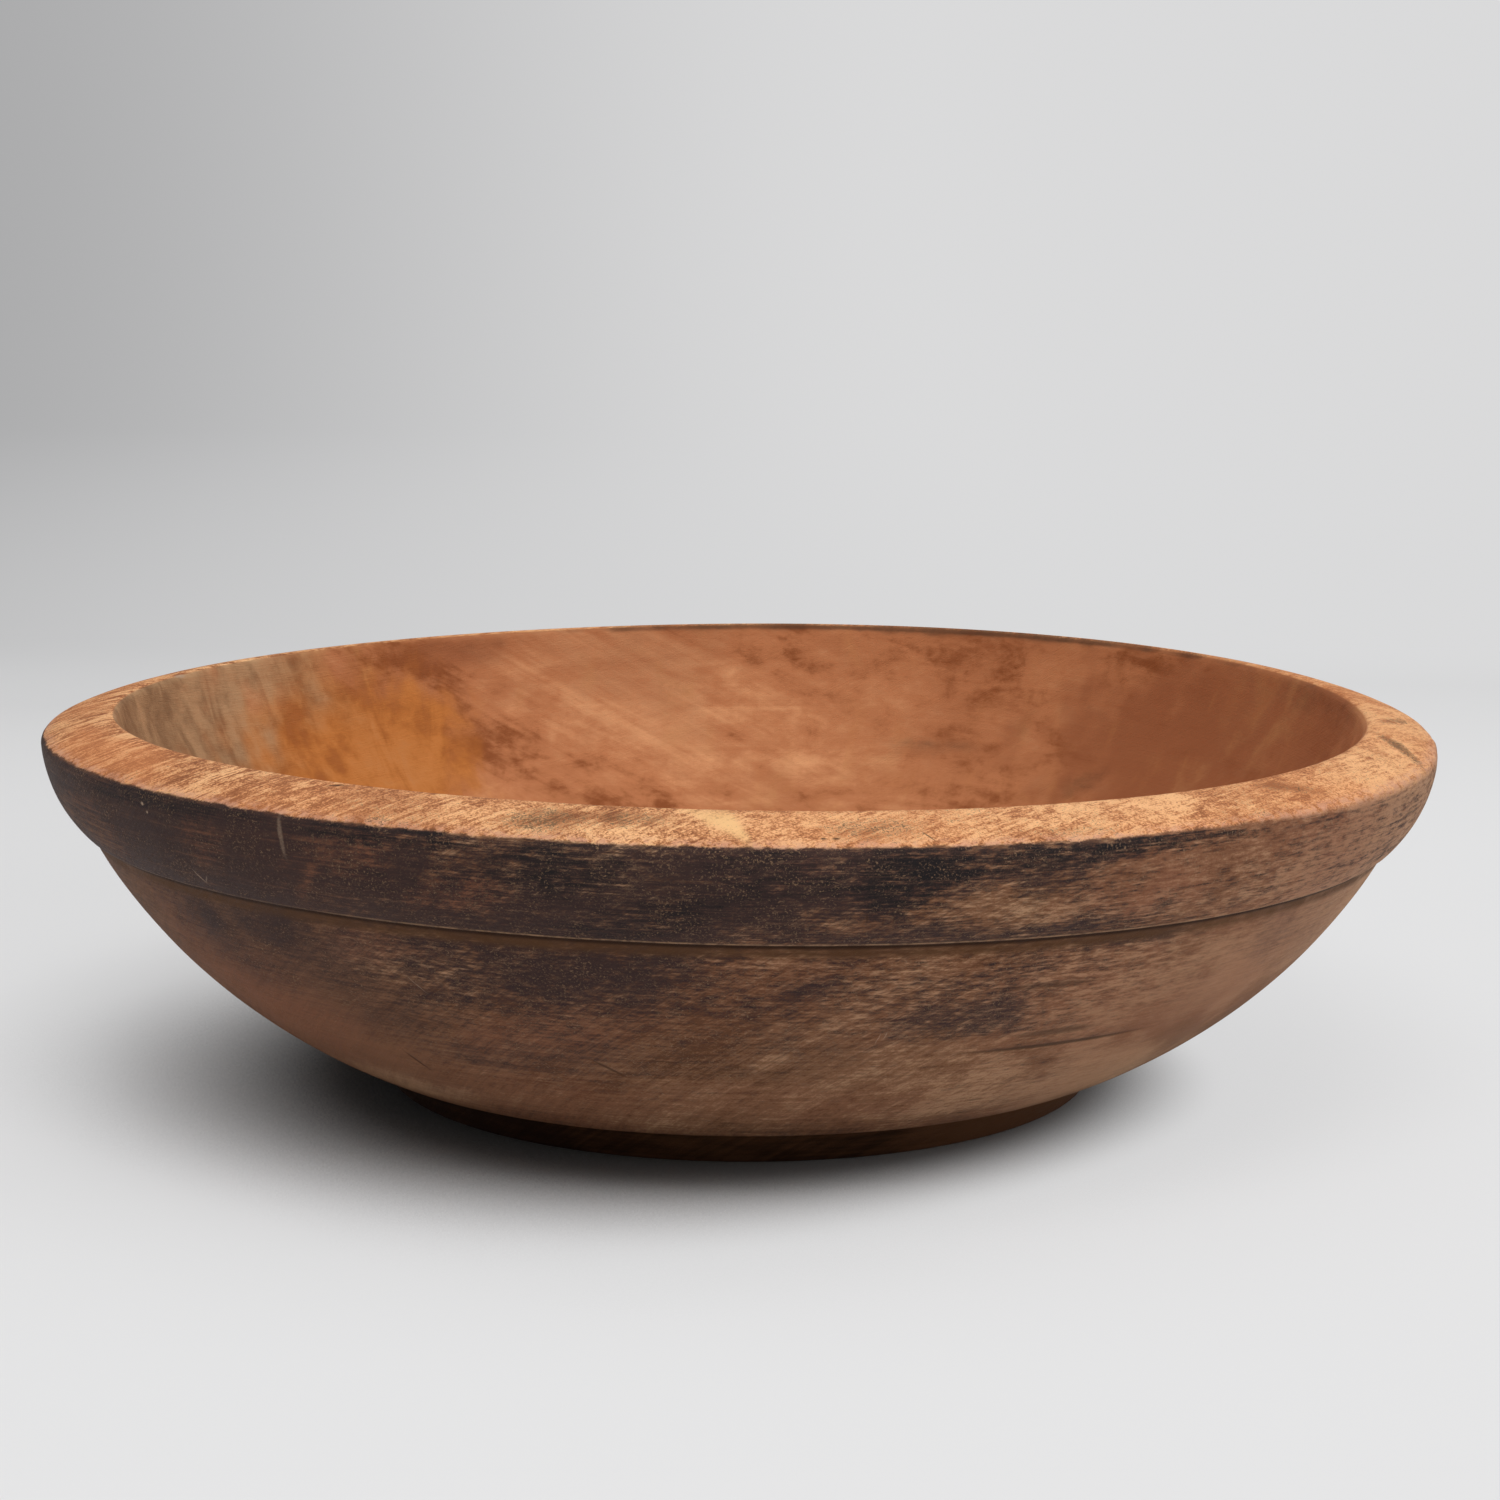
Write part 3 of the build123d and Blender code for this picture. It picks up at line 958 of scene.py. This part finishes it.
def sweep_material(stage):
    """Matt pale sweep. For the camera, a painted shadow darkens the floor under the bowl, painted light
    lightens its shadow further out, and painted shade darkens the wall to the left.
    """
    shadow_reach = 0.2
    material = bpy.data.materials.new("pale_sweep")
    n = Nodes(material)
    place = n.add("ShaderNodeTexCoord").outputs["Object"]
    parts = n.add("ShaderNodeSeparateXYZ", {"Vector": place}).outputs
    flat = n.add("ShaderNodeCombineXYZ", {"X": parts["X"], "Y": parts["Y"]}).outputs["Vector"]
    away = n.add("ShaderNodeVectorMath", {0: flat}, operation="LENGTH").outputs["Value"]
    # Painted light: further out, the floor's glow lightens the bowl's shadow, more at the right.
    shadow_start = n.span(parts["X"], -0.05, 0.15, 0.15, 0.13)
    shadow_end = n.span(parts["X"], -0.15, 0.15, 0.29, 0.19)
    shadow_lift = n.span(away, shadow_start, shadow_end, 0.0, n.span(parts["X"], -0.3, 0.3, 0.60, 0.85))
    behind = n.span(parts["Y"], 0.45, 1.25)
    backdrop = n.math("MAXIMUM", behind, n.span(away, 1.0, 2.5))
    # Painted shade: the wall of the sweep darkens to the left.
    shade = n.math("MULTIPLY", behind, n.span(parts["X"], -1.45, 0.35, 1.0, 0.0))
    wall = n.mix(shade, stage.wall_right, stage.wall_left_shaded)
    path = n.add("ShaderNodeLightPath").outputs
    # Painted shadow: for the camera, the floor is darkened where the bowl hems it in, more at the left.
    openness = n.add("ShaderNodeAmbientOcclusion", {"Distance": shadow_reach}, samples=4).outputs["AO"]
    painted_shadow = n.span(openness, 0.15, 0.55, n.span(parts["X"], -0.2, 0.2, 0.97, 0.60), 0.0)
    painted_shadow = n.math("MULTIPLY", painted_shadow, path["Is Camera Ray"])
    shaded = n.mix(painted_shadow, stage.floor_colour, stage.floor_painted_shadow)
    matt = n.add("ShaderNodeBsdfDiffuse", {"Color": shaded}).outputs["BSDF"]
    open_tone = n.mix(backdrop, stage.floor_painted_light, wall)
    glow = n.add("ShaderNodeEmission", {"Color": open_tone, "Strength": 1.0}).outputs["Emission"]
    seen = n.math("MAXIMUM", path["Is Camera Ray"], path["Is Glossy Ray"])
    share = n.math("MULTIPLY", seen, n.math("MAXIMUM", shadow_lift, backdrop))
    mixed = n.add("ShaderNodeMixShader", {0: share, 1: matt, 2: glow})
    n.add("ShaderNodeOutputMaterial", {"Surface": mixed.outputs["Shader"]})
    return material


def sweep_mesh():
    """Floor that turns up through a quarter round into a wall behind the bowl."""
    width = 12.0
    floor_front = -6.0
    floor_back = 3.6
    bend = 0.5
    wall_height = 5.0
    bend_start = Vector((-width / 2, floor_back, 0.0))
    bm = bmesh.new()
    front = bm.verts.new((-width / 2, floor_front, 0.0))
    corner = bm.verts.new(bend_start)
    bm.edges.new((front, corner))
    bend_axis = bend_start + Vector((0.0, 0.0, bend))
    quarter_round = {"cent": bend_axis, "axis": (1.0, 0.0, 0.0), "angle": pi / 2, "steps": 16}
    turned = bmesh.ops.spin(bm, geom=[corner], **quarter_round)
    foot_of_wall = [item for item in turned["geom_last"] if isinstance(item, bmesh.types.BMVert)]
    raised = bmesh.ops.extrude_vert_indiv(bm, verts=foot_of_wall)
    bmesh.ops.translate(bm, verts=raised["verts"], vec=(0.0, 0.0, wall_height))
    sheet = bmesh.ops.extrude_edge_only(bm, edges=bm.edges[:])
    far_side = [item for item in sheet["geom"] if isinstance(item, bmesh.types.BMVert)]
    bmesh.ops.translate(bm, verts=far_side, vec=(width, 0.0, 0.0))
    bmesh.ops.remove_doubles(bm, verts=bm.verts[:], dist=0.01 * MM)
    bmesh.ops.recalc_face_normals(bm, faces=bm.faces[:])
    mesh = bpy.data.meshes.new("pale_sweep")
    bm.to_mesh(mesh)
    bm.free()
    mesh.shade_smooth()
    return mesh


def soft_lamp(name, watts, place, aim, size):
    """Square area lamp that faces its aim."""
    light = bpy.data.lights.new(name, "AREA")
    light.energy = watts
    light.size = size
    lamp = bpy.data.objects.new(name, light)
    lamp.location = place
    lamp.rotation_euler = (Vector(aim) - Vector(place)).to_track_quat("-Z", "Y").to_euler()
    bpy.context.scene.collection.objects.link(lamp)


def even_sky(stage):
    """World that lights the bowl evenly and looks pale to the camera."""
    world = bpy.data.worlds.new("even_sky")
    n = Nodes(world)
    path = n.add("ShaderNodeLightPath").outputs
    seen = n.math("MAXIMUM", path["Is Camera Ray"], path["Is Glossy Ray"])
    light = n.add("ShaderNodeBackground", {"Color": (1.0, 1.0, 1.0), "Strength": stage.sky})
    pale = n.add("ShaderNodeBackground", {"Color": stage.wall_right, "Strength": 1.0})
    skies = {1: light.outputs["Background"], 2: pale.outputs["Background"]}
    mixed = n.add("ShaderNodeMixShader", {0: seen, **skies})
    n.add("ShaderNodeOutputWorld", {"Surface": mixed.outputs["Shader"]})
    return world


def view_camera(stage):
    """Camera that looks slightly down at the front of the bowl."""
    data = bpy.data.cameras.new("camera")
    data.lens = stage.focal_length
    data.sensor_width = 36.0
    camera = bpy.data.objects.new("camera", data)
    camera.location = (stage.camera_offset, -stage.camera_distance, stage.camera_height)
    tilt = Euler((pi / 2 - stage.camera_pitch, 0.0, 0.0)).to_matrix()
    camera.rotation_euler = (tilt @ Matrix.Rotation(stage.camera_roll, 3, "Z")).to_euler()
    return camera


class DOUGHBOWL_OT_stage(Operator):
    """Set the pale sweep, the soft lamps and the camera"""

    bl_idname = "doughbowl.stage"
    bl_label = "Set Stage"

    def execute(self, context):
        scene = context.scene
        stage = scene.dough_bowl_stage
        sweep = bpy.data.objects.new("pale_sweep", sweep_mesh())
        sweep.data.materials.append(sweep_material(stage))
        scene.collection.objects.link(sweep)
        soft_lamp("key_lamp", stage.key_power, place=(0.0, -1.05, 1.75), aim=(0.0, 0.0, 0.05), size=1.0)
        soft_lamp("top_lamp", stage.top_power, place=(0.05, 0.25, 2.20), aim=(0.0, 0.0, 0.0), size=2.0)
        soft_lamp("side_lamp", stage.side_power, place=(1.45, -0.65, 0.80), aim=(0.0, 0.0, 0.08), size=0.8)
        scene.world = even_sky(stage)
        scene.camera = view_camera(stage)
        scene.collection.objects.link(scene.camera)
        scene.view_settings.view_transform = "Standard"
        return {"FINISHED"}


class DOUGHBOWL_PT_sidebar(Panel):
    """Sizes, colours and steps of the dough bowl"""

    bl_label = "Dough Bowl"
    bl_idname = "DOUGHBOWL_PT_sidebar"
    bl_space_type = "VIEW_3D"
    bl_region_type = "UI"
    bl_category = "Dough Bowl"

    def draw(self, context):
        layout = self.layout
        scene = context.scene
        for operator, group in (
            (DOUGHBOWL_OT_bowl, scene.dough_bowl_shape),
            (None, scene.dough_bowl_finish),
            (DOUGHBOWL_OT_stage, scene.dough_bowl_stage),
        ):
            box = layout.box()
            for name in group.__annotations__:
                box.prop(group, name)
            if operator:
                box.operator(operator.bl_idname)


CLASSES = (BowlShape, BowlFinish, BowlStage, DOUGHBOWL_OT_bowl, DOUGHBOWL_OT_stage, DOUGHBOWL_PT_sidebar)


def register():
    for cls in CLASSES:
        bpy.utils.register_class(cls)
    bpy.types.Scene.dough_bowl_shape = PointerProperty(type=BowlShape)
    bpy.types.Scene.dough_bowl_finish = PointerProperty(type=BowlFinish)
    bpy.types.Scene.dough_bowl_stage = PointerProperty(type=BowlStage)


def unregister():
    del bpy.types.Scene.dough_bowl_stage
    del bpy.types.Scene.dough_bowl_finish
    del bpy.types.Scene.dough_bowl_shape
    for cls in reversed(CLASSES):
        bpy.utils.unregister_class(cls)


def main():
    register()
    bpy.ops.doughbowl.bowl()
    bpy.ops.doughbowl.stage()


if __name__ == "__main__":
    main()
